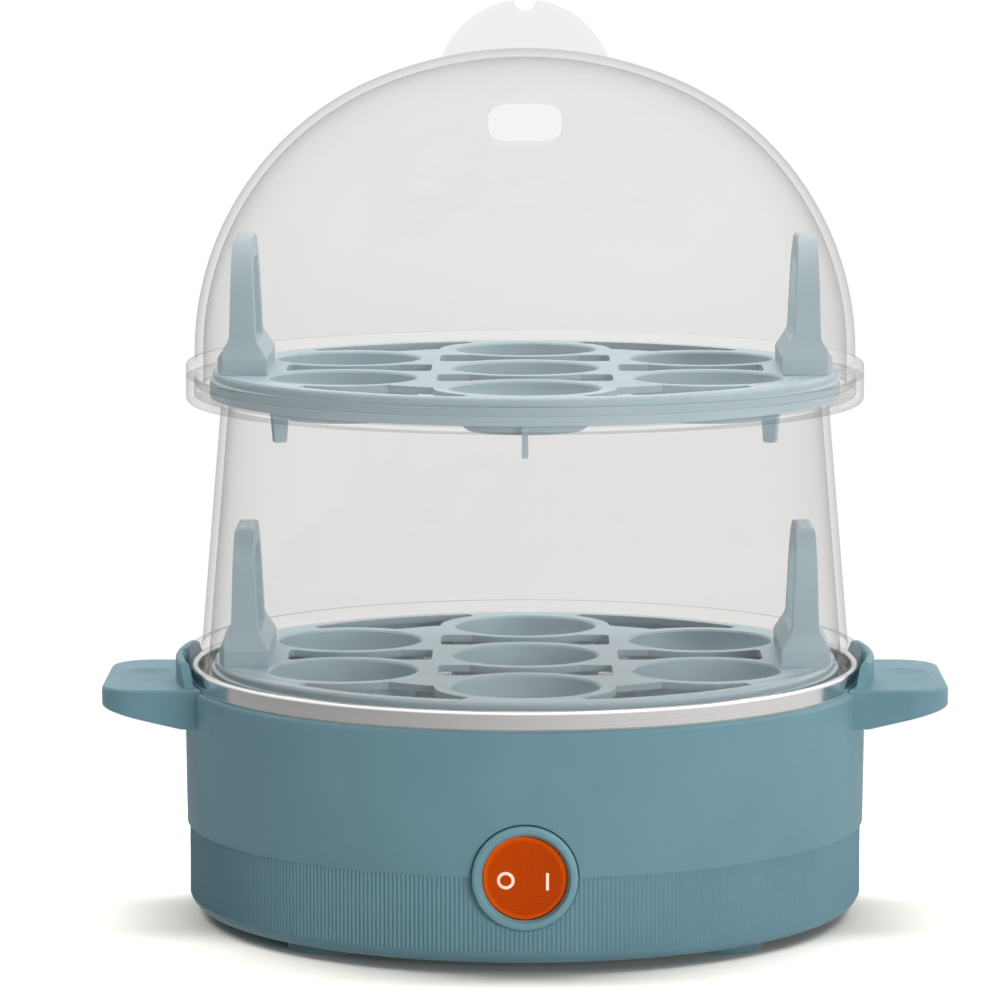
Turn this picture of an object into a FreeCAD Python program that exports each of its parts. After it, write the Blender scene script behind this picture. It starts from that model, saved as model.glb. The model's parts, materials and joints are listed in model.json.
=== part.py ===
import FreeCAD, Part
import math
import os

V = FreeCAD.Vector
UP = V(0, 0, 1)

# Stack heights
foot_h = 2.2
cover_edge_h = 3.4
band_h = 18.8
upper_wall_h = 36.4
pan_rise = 5.0
pan_depth = 14.5
ring_rise = 70.0
cup_depth = 5.2
lid_neck_h = 6.0
dome_rise = 78.6

# Fits, and how far a cut runs past the face that it opens
seat_gap = 0.3
slip_gap = 0.4
pin_gap = 0.05
screw_gap = 0.2
past = 1.0

# Base housing
body_r = 89.0
body_taper = 0.5
wall = 2.5
top_round = 1.0
band_step = 0.5
flute_count = 480
flute_depth = 0.3
rib_t = 2.4

# Side handles
handle_reach = 20.7
handle_rise = 0.9
handle_half_w = 27.5
handle_corner = 11.0
handle_root_t = 10.2
handle_tip_t = 5.4
handle_shell = 2.6
handle_sink = 6.0
dish_out = 10.0
dish_w = 14.0
dish_l = 23.0
dish_depth = 1.0
guard_gap = 0.2
guard_t = 2.2
guard_h = 6.3
guard_sink = 2.0
guard_foot_w = 53.0
guard_top_w = 40.0
guard_foot_round = 2.0
guard_top_round = 3.0

# Heating pan
pan_lip = 1.5
pan_rim_w = 2.1
pan_rim_round = 0.95
pan_t = 0.6
pan_corner = 5.0
pan_rim_h = 4.5
gasket_w = 1.0

# Heater
spreader_r = 50.0
spreader_hole_r = 12.0
spreader_t = 2.0
element_ring_r = 36.0
element_tube_r = 3.2
element_open_angle = 50.0
element_pin_r = 1.3
element_pin_over = 2.0
stud_in = 27.0
stud_angles = (90.0, 210.0, 330.0)
stud_r = 2.0
stud_len = 14.2
lug_t = 4.0
lug_w = 14.0
lug_drop = 4.7
lug_rib_h = 8.0
lug_rib_in = 8.0
nut_af = 7.0
nut_h = 3.2
washer_r = 4.5
washer_t = 0.8

# Thermostat
cap_r = 8.0
cap_h = 4.2
cap_round = 0.8
thermo_r = 7.0
thermo_h = 8.6
thermo_round = 0.6
blade_rise = 1.1
strap_t = 0.8
strap_w = 19.0
strap_step = 14.0
strap_half = 22.0
strap_screw_x = 18.4
small_screw_r = 1.5
small_head_r = 2.8
small_head_h = 1.8
small_slot_w = 0.8
small_slot_h = 0.7

# Switch
pocket_depth = 2.5
pocket_gap = 0.3
bezel_flange = 1.2
bezel_proud = 0.8
bezel_crest_in = 0.6
bezel_drop = 1.2
bezel_round = 1.1
bezel_inner_round = 0.4
barrel_wall = 1.0
barrel_end_t = 1.5
boss_wall = 1.5
boss_depth = 4.5
pivot_in = 3.5
rocker_ball = 10.7
rocker_edge = 4.0
rocker_hollow = 1.1
rocker_shell = 1.3
rocker_skirt = 2.5
rocker_tilt = 7.0
trunnion_r = 1.5
trunnion_root = 1.2
trunnion_gap = 0.1
mark_off_x = -4.4
mark_on_x = 6.0
mark_drop = 0.7
mark_r = 2.2
mark_line = 0.8
mark_depth = 0.25
stem_bore = 1.75
stem_wall = 0.95
stem_drop = 5.0
bore_top = 0.5
plunger_reach = 7.6
plunger_top = 2.4
spring_len = 2.8
spring_wire = 0.5
spring_gap = 0.2
arm_len = 16.0
arm_w = 5.0
arm_t = 0.8
arm_tilt = 5.0
arm_clear = 1.3
arm_pivot_r = 0.35
button_r = 1.2
button_h = 0.4
button_in = 0.5
tab_w = 4.8
tab_t = 0.8
tab_pitch = 7.0
tab_len = 8.0
lamp_r = 1.8
lamp_len = 8.0
lamp_clear = 2.2
lamp_shelf_h = 2.9
lamp_shelf_len = 6.0

# Bottom cover, screws and feet
cover_floor_t = 2.4
cover_corner = 4.5
cover_lip_t = 2.0
cover_lip_h = 4.4
screw_in = 12.0
screw_angles = (15.0, 165.0, 195.0, 345.0)
screw_r = 1.3
screw_head_r = 2.9
screw_head_h = 2.0
screw_len = 16.0
screw_seat_t = 2.0
cross_w = 0.9
cross_l = 4.0
cross_depth = 1.1
cover_boss_r = 5.5
cover_boss_h = 3.4
post_r = 4.0
post_len = 30.0
post_rib_rise = 4.0
foot_r = 10.0
foot_in = 15.5
foot_angle = 47.0
foot_sink = 0.8
foot_round = 0.7
foot_gap = 0.1
slot_w = 2.4
slot_len = 40.0
slot_pitch = 6.0
slot_count = 7

# Cord gland
gland_rise = 9.2
gland_hole_w = 7.4
gland_hole_h = 4.2
gland_neck_t = 1.5
gland_neck_in = 5.0
gland_flange_t = 2.3
gland_flange_w = 3.0
gland_collar_w = 0.8
gland_collar_t = 2.4
gland_collar_gap = 0.6
gland_pad = 0.4
gland_pad_w = 22.0
gland_pad_h = 15.0

# Terminal block and leads
block_w = 26.0
block_d = 12.0
block_h = 12.0
block_in = 29.0
block_round = 0.8
block_pad_h = 3.0
block_pad_edge = 1.0
block_screw_floor = 1.2
block_screw_tip = 0.4
head_sink = 1.0
live_x = -8.0
neutral_x = 6.0
lamp_x = 10.0
lead_hole_h = 7.0
lead_end_gap = 0.2
supply_x = 8.0
supply_r = 1.6
supply_drop = 9.0
supply_depth = 4.0
lead_r = 1.1
fuse_r = 2.4
fuse_len = 16.0
fuse_lead = 7.0
bend_share = 0.45
lead_loop = 11.0
clip_len = 9.0
clip_nose = 3.0
clip_grip = 0.5
clip_gap = 0.2
clip_wall = 0.8
blade_w = 6.3
blade_len = 9.0
blade_root = 2.0

# Egg trays
tray_gap = 1.7
tray_rim_h = 6.8
tray_lip_h = 2.0
tray_lip_in = 0.8
tray_lip_step = 0.4
tray_lip_round = 0.8
tray_t = 1.8
tray_rim_t = 2.0
seat_rim = 9.0
seat_r = 19.0
seat_foot_r = 13.0
seat_depth = 10.4
seat_belly = 0.6
seat_wall = 1.6
seat_edge = 0.5
seat_land = 4.0
slot_half = 22.5
slot_flare = 9.0
slot_corner = 2.0
side_slot_in = 20.0
web_rim = 5.0
web_in = 4.0
web_half_w = 24.0
leg_in = 10.0
leg_top_w = 6.0
leg_tip_w = 3.2
leg_tip_round = 0.6
leg_t = 1.6
leg_drop = 15.7
grip_h = 34.8
grip_top_in = 6.7
grip_top_t = 4.9
grip_low_in = 6.0
grip_low_t = 6.8
grip_foot_in = 2.8
grip_foot_t = 13.0
grip_foot_h = 4.0
grip_foot_spread = 2.0
grip_foot_round = 1.0
grip_flare_h = 9.0
grip_flare_round = 4.0
grip_edge_round = 1.2
grip_half = 20.5
grip_lean = 1.5
grip_round = 13.0
grip_bar = 5.6
grip_sill = 8.0
grip_sill_round = 3.0

# Clear tier ring
ring_wall = 2.1
ring_flange_in = 0.7
ring_flange_h = 3.7
ring_foot_in = 3.7
ring_foot_rise = 1.0
ring_skirt_t = 1.8
ring_skirt_h = 3.5
ring_skirt_round = 0.5
ring_flange_low_round = 0.8
ring_flange_top_round = 1.2
ring_neck_round = 1.0
cup_in = 0.1
cup_wall = 2.0
cup_low_round = 1.5
cup_in_round = 0.8
ledge_t = 1.6
ledge_w = 5.0
ledge_round = 0.5

# Clear dome lid
lid_wall = 2.2
lid_flange_h = 3.7
lid_flange_round = 1.0
lid_neck_round = 0.8
lid_skirt_h = 2.5
lid_skirt_round = 0.5
lid_flange_w = 2.3
shoulder_in = 1.9
fin_r = 23.0
fin_top = 12.4
fin_t = 6.4
fin_wall = 1.9
fin_round = 1.2
notch_half = 2.8
notch_depth = 2.9
vent_w = 20.0
vent_l = 19.0
vent_corner = 5.5
vent_reach = 60.0

# Levels that follow from the stack
band_bottom = foot_h + cover_edge_h
band_top = band_bottom + band_h
switch_z = band_top
gland_z = band_bottom + gland_rise
body_top = band_top + upper_wall_h
handle_top = body_top + handle_rise
pan_top = body_top + pan_rise
pan_floor = pan_top - pan_depth
pan_under = pan_floor - pan_t
cover_top = foot_h + cover_floor_t
boss_top = cover_top + cover_boss_h
screw_seat = boss_top - screw_seat_t
spreader_under = pan_under - spreader_t
element_z = spreader_under - element_tube_r - pin_gap
lead_z = pan_under - cap_h - thermo_h + blade_rise
lug_top = pan_under - lug_drop
block_top = cover_top + block_pad_h + block_h
head_seat = block_top - small_head_h - head_sink
lower_tray_top = pan_floor + leg_drop
ledge_top = pan_top + ring_rise
cup_top = ledge_top + cup_depth
upper_tray_top = ledge_top + tray_rim_h
dome_spring = cup_top + lid_neck_h
dome_apex = dome_spring + dome_rise

# Radii and reaches that follow from the fits
step_r = body_r - body_taper
crest_r = step_r - band_step
inner_top_r = body_r - wall
inner_low_r = step_r - wall
pan_rim_r = body_r - pan_lip
pan_in_r = pan_rim_r - pan_rim_w
rebate_r = pan_rim_r + screw_gap
rebate_z = pan_top - pan_rim_h - gasket_w
stud_ring_r = body_r - stud_in
screw_ring_r = body_r - screw_in
foot_ring_r = body_r - foot_in
handle_tip = body_r + handle_reach
gland_face = crest_r + gland_pad
block_y = body_r - block_in

# Switch, from its rocker outwards
pivot_y = body_r - pivot_in
pocket_floor = body_r - pocket_depth
bezel_crest = body_r + bezel_proud
barrel_r = rocker_ball + seat_gap + barrel_wall
bezel_r = barrel_r + bezel_flange
bezel_crest_r = barrel_r - bezel_crest_in
pocket_r = bezel_r + pocket_gap
boss_r = pocket_r + boss_wall
stem_r = stem_bore + stem_wall
arm_z = pivot_y - plunger_reach - seat_gap - arm_t
barrel_floor = arm_z - arm_clear
barrel_back = barrel_floor - barrel_end_t
lamp_rise = arm_w / 2 + lamp_clear + lamp_r

# Clear tiers and trays, from the housing inwards
ring_flange_r = body_r - ring_flange_in
ring_foot_r = ring_flange_r - ring_foot_in
cup_r = ring_flange_r - cup_in
dome_r = cup_r - lid_flange_w
tray_r = dome_r - lid_wall - tray_gap
ring_throat_r = tray_r - ledge_w
seat_ring_r = tray_r - seat_rim - seat_r
leg_ring_r = tray_r - leg_in
shoulder_r = dome_rise + math.copysign(shoulder_in, dome_rise - dome_r)
crown_r = (dome_r ** 2 + dome_rise ** 2 - 2 * dome_r * shoulder_r) / (2 * (dome_rise - shoulder_r))

# Where the leads meet their blades
thermo_tip = thermo_r + blade_len
clip_exit = clip_nose - clip_grip


def soft_edges(points, radii, closed):
    # Straight runs joined by tangent arcs at the corners
    arrive, leave, middle = [], [], []
    count = len(points)
    for i, corner in enumerate(points):
        at_end = not closed and i in (0, count - 1)
        if at_end or radii[i] == 0:
            arrive.append(corner)
            leave.append(corner)
            middle.append(None)
            continue
        back = (points[i - 1] - corner).normalize()
        ahead = (points[(i + 1) % count] - corner).normalize()
        half = back.getAngle(ahead) / 2
        reach = radii[i] / math.tan(half)
        bisector = (back + ahead).normalize()
        arrive.append(corner + back * reach)
        leave.append(corner + ahead * reach)
        middle.append(corner + bisector * (radii[i] / math.sin(half) - radii[i]))
    edges = []
    for i in range(count):
        if middle[i] is not None:
            edges.append(Part.Arc(arrive[i], middle[i], leave[i]).toShape())
        if closed or i + 1 < count:
            following = arrive[(i + 1) % count]
            if leave[i].distanceToPoint(following) > 1e-6:
                edges.append(Part.makeLine(leave[i], following))
    return edges


def limited(radius, width):
    # Rounding for both edges of a wall, held below half of its width
    return min(radius, 0.46 * width)


def outline(corners, plane):
    # Closed face from corners (u, v) or (u, v, radius) in the named plane
    across = V(0, 1, 0) if plane == "yz" else V(1, 0, 0)
    along = V(0, 1, 0) if plane == "xy" else UP
    points = [across * c[0] + along * c[1] for c in corners]
    radii = [c[2] if len(c) == 3 else 0 for c in corners]
    return Part.Face(Part.Wire(soft_edges(points, radii, True)))


def slab(u0, u1, v0, v1, radius, plane):
    return outline([(u0, v0, radius), (u1, v0, radius), (u1, v1, radius), (u0, v1, radius)], plane)


def revolved(edges):
    return Part.Face(Part.Wire(edges)).revolve(V(), UP, 360)


def turned(corners):
    return outline(corners, "xz").revolve(V(), UP, 360)


def block(x0, x1, y0, y1, z0, z1):
    return Part.makeBox(x1 - x0, y1 - y0, z1 - z0, V(x0, y0, z0))


def rod(radius, start, end):
    return Part.makeCylinder(radius, start.distanceToPoint(end), start, end - start)


def capsule(radius, start, end):
    return joined([rod(radius, start, end), Part.makeSphere(radius, start), Part.makeSphere(radius, end)])


def spun(shape, degrees):
    copy = shape.copy()
    copy.rotate(V(), UP, degrees)
    return copy


def moved(shape, x, y, z):
    copy = shape.copy()
    copy.translate(V(x, y, z))
    return copy


def mirrored(shape):
    return shape.mirror(V(), V(1, 0, 0))


def front(shape):
    # Local Z points out of the front wall, local Y points up
    copy = shape.copy()
    copy.rotate(V(), V(1, 0, 0), 90)
    copy.translate(V(0, 0, switch_z))
    return copy


def joined(shapes):
    return shapes[0].multiFuse(shapes[1:]).removeSplitter()


def together(shapes):
    return Part.makeCompound(shapes)


def obround(width, height, y0, y1):
    # Flat-sided hole or neck through the back wall at the height of the gland
    shape = slab(-width / 2, width / 2, -height / 2, height / 2, height / 2, "xz")
    return moved(shape.extrude(V(0, y1 - y0, 0)), 0, y0, gland_z)


def hexagon(across, height, centre):
    reach = across / math.sqrt(3)
    turns = [math.radians(60 * k) for k in range(6)]
    corners = [(reach * math.cos(t), reach * math.sin(t)) for t in turns]
    return moved(outline(corners, "xy").extrude(UP * height), *centre)


def on_ring(radius, degrees, z):
    angle = math.radians(degrees)
    return V(radius * math.cos(angle), radius * math.sin(angle), z)


def flutes():
    # Ring-shaped cutter whose inner face is the fluted band
    low = band_bottom - past
    points = []
    for k in range(2 * flute_count):
        radius = crest_r if k % 2 == 0 else crest_r - flute_depth
        points.append(on_ring(radius, 180.0 * k / flute_count, low))
    points.append(points[0])
    band = Part.Face(Part.Wire(Part.makePolygon(points))).extrude(UP * (band_top - low))
    return Part.makeCylinder(body_r + past, band_top - low, V(0, 0, low)).cut(band)


def handle_tab():
    # Tab that thins towards its tip, hollow from below
    root = body_r - top_round - seat_gap
    start = root - handle_sink
    low_root = handle_top - handle_root_t
    low_tip = handle_top - handle_tip_t
    plan = outline([(start, -handle_half_w), (handle_tip, -handle_half_w, handle_corner),
                    (handle_tip, handle_half_w, handle_corner), (start, handle_half_w)], "xy")
    side = outline([(start, handle_top), (handle_tip, handle_top), (handle_tip, low_tip),
                    (body_r, low_root), (start, low_root)], "xz")
    tab = moved(plan.extrude(UP * handle_root_t), 0, 0, low_root)
    tab = tab.common(moved(side.extrude(V(0, 2 * handle_half_w, 0)), 0, -handle_half_w, 0))
    free = [e for e in tab.Edges if e.BoundBox.XMax > body_r + past]
    tab = tab.makeFillet(top_round, [e for e in free if e.BoundBox.XLength + e.BoundBox.YLength > past])
    x0, x1 = body_r + handle_shell, handle_tip - handle_shell
    half, corner = handle_half_w - handle_shell, handle_corner - handle_shell
    pocket = outline([(x0, -half), (x1, -half, corner), (x1, half, corner), (x0, half)], "xy")
    tab = tab.cut(moved(pocket.extrude(UP * handle_root_t), 0, 0, low_root - handle_shell))
    return tab.cut(Part.makeCylinder(root, handle_root_t + 2 * past, V(0, 0, low_root - past)))


def handle_guard():
    # Low curved wall between the handle and the hot rim
    inner, outer = body_r + guard_gap, body_r + guard_gap + guard_t
    low, high = handle_top - guard_sink, handle_top + guard_h
    edge = limited(top_round, guard_t)
    ring = turned([(inner, low), (outer, low), (outer, high, edge), (inner, high, edge)])
    foot, top = guard_foot_w / 2, guard_top_w / 2
    shape = outline([(-foot, low), (foot, low), (foot, handle_top, guard_foot_round),
                     (top, high, guard_top_round), (-top, high, guard_top_round),
                     (-foot, handle_top, guard_foot_round)], "yz")
    return ring.common(shape.extrude(V(handle_tip, 0, 0)))


def side_handle():
    ball = (dish_w * dish_w / 4 + dish_depth * dish_depth) / (2 * dish_depth)
    x, z = body_r + dish_out, handle_top - dish_depth + ball
    half = (dish_l - dish_w) / 2
    dish = capsule(ball, V(x, -half, z), V(x, half, z))
    room = block(body_r + guard_gap + guard_t, handle_tip, -handle_half_w, handle_half_w, 0, handle_top + past)
    return joined([handle_tab(), handle_guard()]).cut(dish.common(room))


def plate_lug(angle):
    # Bracket under the pan that takes one stud, with a rib to the wall
    inner = stud_ring_r - lug_w / 2
    plan = outline([(inner, -lug_w / 2, lug_w / 2), (body_r, -lug_w / 2), (body_r, lug_w / 2),
                    (inner, lug_w / 2, lug_w / 2)], "xy")
    lug = moved(plan.extrude(UP * lug_t), 0, 0, lug_top - lug_t)
    low = lug_top - lug_t
    rib = block(stud_ring_r + lug_rib_in, body_r, -rib_t / 2, rib_t / 2, low - lug_rib_h, low + lug_t / 2)
    return spun(joined([lug, rib]), angle)


def cover_post(angle):
    post = Part.makeCylinder(post_r, post_len, V(screw_ring_r, 0, boss_top))
    rib = block(screw_ring_r, body_r, -rib_t / 2, rib_t / 2, boss_top + post_rib_rise, boss_top + post_len)
    return spun(joined([post, rib]), angle)


def base_housing():
    shell = turned([(step_r, band_bottom), (body_r, body_top, top_round), (rebate_r, body_top),
                    (rebate_r, rebate_z), (inner_top_r, rebate_z), (inner_low_r, band_bottom)])
    shell = shell.cut(flutes())
    handle = side_handle()
    core = Part.makeCylinder((inner_low_r + crest_r - flute_depth) / 2, rebate_z - band_bottom,
                             V(0, 0, band_bottom))
    inside = [front(Part.makeCylinder(boss_r, boss_depth + wall, V(0, 0, pocket_floor - boss_depth)))]
    inside += [plate_lug(a) for a in stud_angles]
    inside += [cover_post(a) for a in screw_angles]
    pad = block(-gland_pad_w / 2, gland_pad_w / 2, inner_low_r - wall, gland_face,
                gland_z - gland_pad_h / 2, gland_z + gland_pad_h / 2)
    pad = pad.cut(Part.makeCylinder(inner_low_r, body_top))
    body = joined([shell, handle, mirrored(handle), pad] + [s.common(core) for s in inside])
    back = pocket_floor - boss_depth - past
    cuts = [front(Part.makeCylinder(pocket_r, wall + past, V(0, 0, pocket_floor))),
            front(Part.makeCylinder(barrel_r + seat_gap, body_r - back, V(0, 0, back)))]
    for angle in stud_angles:
        foot = on_ring(stud_ring_r, angle, lug_top - lug_t - past)
        cuts.append(rod(stud_r + screw_gap, foot, foot + UP * (lug_t + 2 * past)))
    for angle in screw_angles:
        foot = on_ring(screw_ring_r, angle, boss_top - past)
        cuts.append(rod(screw_r + pin_gap, foot, foot + UP * (past + screw_len)))
    around = 2 * gland_neck_t + 2 * seat_gap
    cuts.append(obround(gland_hole_w + around, gland_hole_h + around, inner_low_r - gland_neck_in - past,
                        body_r + past))
    return body.cut(together(cuts))


def heating_plate():
    out_r = pan_in_r + pan_t
    rim_low = pan_top - pan_rim_h
    edge = limited(pan_rim_round, pan_rim_w)
    return turned([(0, pan_floor), (pan_in_r, pan_floor, pan_corner), (pan_in_r, pan_top, edge),
                   (pan_rim_r, pan_top, edge), (pan_rim_r, rim_low), (out_r, rim_low),
                   (out_r, pan_under, pan_corner + pan_t), (0, pan_under)])


def plate_gasket():
    high = rebate_z + gasket_w
    return turned([(inner_top_r, rebate_z), (pan_rim_r, rebate_z), (pan_rim_r, high), (inner_top_r, high)])


def heat_spreader():
    plate = turned([(spreader_hole_r, spreader_under), (spreader_r, spreader_under),
                    (spreader_r, pan_under), (spreader_hole_r, pan_under)])
    holes = [rod(small_screw_r + pin_gap, V(x, 0, spreader_under - past), V(x, 0, pan_under))
             for x in (-strap_screw_x, strap_screw_x)]
    return plate.cut(together(holes))


def element_end(side):
    return on_ring(element_ring_r, 90 - side * element_open_angle / 2, element_z)


def heating_element():
    section = Part.makeCircle(element_tube_r, V(element_ring_r, 0, element_z), V(0, 1, 0))
    ring = Part.Face(Part.Wire(section)).revolve(V(), UP, 360 - element_open_angle)
    parts = [spun(ring, 90 + element_open_angle / 2)]
    for side in (-1, 1):
        end = element_end(side)
        parts.append(rod(element_pin_r, end, V(end.x, end.y, lead_z - element_pin_over)))
        parts.append(block(end.x - blade_w / 2, end.x + blade_w / 2, end.y - element_pin_r, end.y + blade_len,
                           lead_z - tab_t / 2, lead_z + tab_t / 2))
    return joined(parts)


def plate_studs():
    studs = []
    for angle in stud_angles:
        top = on_ring(stud_ring_r, angle, pan_under)
        studs.append(rod(stud_r, top, top - UP * stud_len))
    return studs


def plate_nuts():
    nuts = []
    for angle in stud_angles:
        seat = on_ring(stud_ring_r, angle, lug_top - lug_t)
        foot = seat - UP * (washer_t + nut_h)
        washer = Part.makeCylinder(washer_r, washer_t, seat - UP * washer_t)
        bore = rod(stud_r + pin_gap, seat + UP * past, foot - UP * past)
        nuts.append(joined([washer, hexagon(nut_af, nut_h, foot)]).cut(bore))
    return nuts


def thermostat():
    top = pan_under - pin_gap
    neck, low = top - cap_h, top - cap_h - thermo_h
    can = turned([(0, top), (cap_r, top, cap_round), (cap_r, neck), (thermo_r, neck),
                  (thermo_r, low, thermo_round), (0, low)])
    blade = block(-blade_w / 2, blade_w / 2, thermo_r - blade_root, thermo_tip,
                  lead_z - tab_t / 2, lead_z + tab_t / 2)
    return joined([can, blade, spun(blade, 180)])


def thermostat_strap():
    # Step strap that holds the thermostat's cap up against the pan
    high = pan_under - pin_gap - cap_h
    low = high - strap_t
    half = strap_w / 2
    wall_x = strap_step - strap_t
    riser = block(wall_x, strap_step, -half, half, low, spreader_under)
    foot = block(wall_x, strap_half, -half, half, spreader_under - strap_t, spreader_under)
    arm = joined([riser, foot])
    strap = joined([block(-strap_step, strap_step, -half, half, low, high), arm, mirrored(arm)])
    cuts = [rod(thermo_r + seat_gap, V(0, 0, low - past), V(0, 0, high + past))]
    for x in (-strap_screw_x, strap_screw_x):
        cuts.append(rod(small_screw_r + screw_gap, V(x, 0, low - past), V(x, 0, pan_under)))
    return strap.cut(together(cuts))


def small_screw(seat, length, heading):
    # Slotted screw whose shank runs from its seat along heading times Z
    head = rod(small_head_r, seat, seat - UP * heading * small_head_h)
    shank = rod(small_screw_r, seat, seat + UP * heading * length)
    top = seat.z - heading * small_head_h
    floor = top + heading * small_slot_h
    over = top - heading * past
    half = small_slot_w / 2
    slot = block(seat.x - half, seat.x + half, seat.y - small_head_r, seat.y + small_head_r,
                 min(floor, over), max(floor, over))
    return joined([head, shank]).cut(slot)


def strap_screws():
    seat = spreader_under - strap_t
    length = strap_t + spreader_t - screw_gap
    return [small_screw(V(x, 0, seat), length, 1) for x in (-strap_screw_x, strap_screw_x)]


def switch_body():
    # Round bezel and barrel around a ball-shaped seat for the rocker
    ball = rocker_ball + seat_gap
    lip_z = bezel_crest - bezel_drop
    lip_in = math.sqrt(ball ** 2 - (lip_z - pivot_y) ** 2)
    turn = math.atan2(lip_z - pivot_y, lip_in) / 2
    middle = V(ball * math.cos(turn), 0, pivot_y + ball * math.sin(turn))
    outer = [V(0, 0, barrel_back), V(barrel_r, 0, barrel_back), V(barrel_r, 0, pocket_floor),
             V(bezel_r, 0, pocket_floor), V(bezel_r, 0, bezel_crest), V(bezel_crest_r, 0, bezel_crest),
             V(lip_in, 0, lip_z)]
    inner = [V(ball, 0, pivot_y), V(ball, 0, barrel_floor), V(0, 0, barrel_floor), V(0, 0, barrel_back)]
    edges = soft_edges(outer, [0, 0, 0, 0, bezel_round, bezel_inner_round, 0], False)
    edges.append(Part.Arc(outer[-1], middle, inner[0]).toShape())
    edges += soft_edges(inner, [0] * len(inner), False)
    shelf = block(-lamp_shelf_len / 2, lamp_shelf_len / 2, lamp_rise - lamp_r, lamp_rise + lamp_r,
                  barrel_back, barrel_floor + lamp_shelf_h)
    body = joined([revolved(edges), shelf])
    side = V(0, barrel_r + past, 0)
    cuts = [rod(trunnion_r + pin_gap, V(0, 0, pivot_y) - side, V(0, 0, pivot_y) + side)]
    half_t, half_w = tab_t / 2 + pin_gap, tab_w / 2 + pin_gap
    for x in (-tab_pitch, 0, tab_pitch):
        cuts.append(block(x - half_t, x + half_t, -half_w, half_w, barrel_back - past, barrel_floor + past))
    return front(body.cut(together(cuts)))


def tilted(shape):
    # Rest position with the O side pressed in
    placed = front(shape)
    placed.rotate(V(0, -pivot_y, switch_z), UP, -rocker_tilt)
    return placed


def mark_floor(x, face_z, curve):
    # Bottom of a mark's groove in the hollow face
    return face_z + curve - math.sqrt(curve ** 2 - x ** 2) - mark_depth


def switch_rocker():
    # Ball-sided rocker with a hollow face, trunnions and a spring stem
    reach = 2 * rocker_ball
    half = math.sqrt(rocker_ball ** 2 - rocker_edge ** 2)
    curve = (half ** 2 + rocker_hollow ** 2) / (2 * rocker_hollow)
    face_z = pivot_y + rocker_edge - rocker_hollow
    axis = V(0, 0, face_z + curve)
    ball = Part.makeSphere(rocker_ball, V(0, 0, pivot_y))
    ball = ball.cut(rod(curve, axis - V(0, reach, 0), axis + V(0, reach, 0)))
    ball = ball.cut(block(-reach, reach, -reach, reach, pivot_y - reach, pivot_y - rocker_skirt))
    room = block(-reach, reach, -reach, reach, pivot_y - reach, face_z - rocker_shell)
    shell = ball.cut(Part.makeSphere(rocker_ball - rocker_shell, V(0, 0, pivot_y)).common(room))
    stem_foot = V(0, 0, pivot_y - stem_drop)
    stem = rod(stem_r, stem_foot, V(0, 0, face_z - rocker_shell / 2))
    pins = []
    for side in (-1, 1):
        root = V(0, side * (rocker_ball - trunnion_root), pivot_y)
        tip = V(0, side * (barrel_r - trunnion_gap), pivot_y)
        pins.append(rod(trunnion_r, root, tip))
    rocker = joined([shell, stem] + pins)
    rocker = rocker.cut(rod(stem_bore, stem_foot, V(0, 0, pivot_y + bore_top)))
    ring_foot = V(mark_off_x, -mark_drop, mark_floor(mark_off_x, face_z, curve))
    bar_low = mark_floor(mark_on_x, face_z, curve)
    ring = rod(mark_r, ring_foot, ring_foot + UP * reach)
    ring = ring.cut(rod(mark_r - mark_line, ring_foot, ring_foot + UP * reach))
    bar = block(mark_on_x - mark_line / 2, mark_on_x + mark_line / 2, -mark_r - mark_drop, mark_r - mark_drop,
                bar_low, bar_low + reach)
    return tilted(rocker.cut(together([ring, bar])))


def switch_plunger():
    radius = stem_bore - pin_gap
    nose = V(0, 0, pivot_y - plunger_reach + radius)
    pin = rod(radius, nose, V(0, 0, pivot_y - plunger_top))
    return tilted(joined([pin, Part.makeSphere(radius, nose)]))


def switch_spring():
    # Short coil spring, drawn as its closed sleeve
    outer = stem_bore - spring_gap
    low, high = V(0, 0, pivot_y - plunger_top), V(0, 0, pivot_y - plunger_top + spring_len)
    return tilted(rod(outer, low, high).cut(rod(outer - spring_wire, low, high)))


def switch_contact_arm():
    strip = block(-arm_len / 2, arm_len / 2, -arm_w / 2, arm_w / 2, arm_z, arm_z + arm_t)
    button = Part.makeCylinder(button_r, button_h, V(button_in - tab_pitch, 0, arm_z - button_h))
    groove = rod(arm_pivot_r + pin_gap, V(0, -arm_w, arm_z), V(0, arm_w, arm_z))
    arm = front(joined([strip, button]).cut(groove))
    arm.rotate(V(0, -arm_z, switch_z), UP, arm_tilt)
    return arm


def switch_terminals():
    # Two side tabs and a middle one whose rounded edge carries the arm
    tabs = []
    half_t, half_w = tab_t / 2, tab_w / 2
    for x in (-tab_pitch, 0, tab_pitch):
        top = arm_z - seat_gap if x == 0 else barrel_floor + pin_gap
        tab = block(x - half_t, x + half_t, -half_w, half_w, barrel_back - tab_len, top)
        if x == 0:
            neck = block(-arm_pivot_r, arm_pivot_r, -half_w, half_w, barrel_back, arm_z)
            tab = joined([tab, neck, rod(arm_pivot_r, V(0, -half_w, arm_z), V(0, half_w, arm_z))])
        tabs.append(front(tab))
    return tabs


def switch_lamp():
    z = barrel_floor + lamp_shelf_h + lamp_r + screw_gap
    half = lamp_len / 2 - lamp_r
    return front(capsule(lamp_r, V(-half, lamp_rise, z), V(half, lamp_rise, z)))


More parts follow.
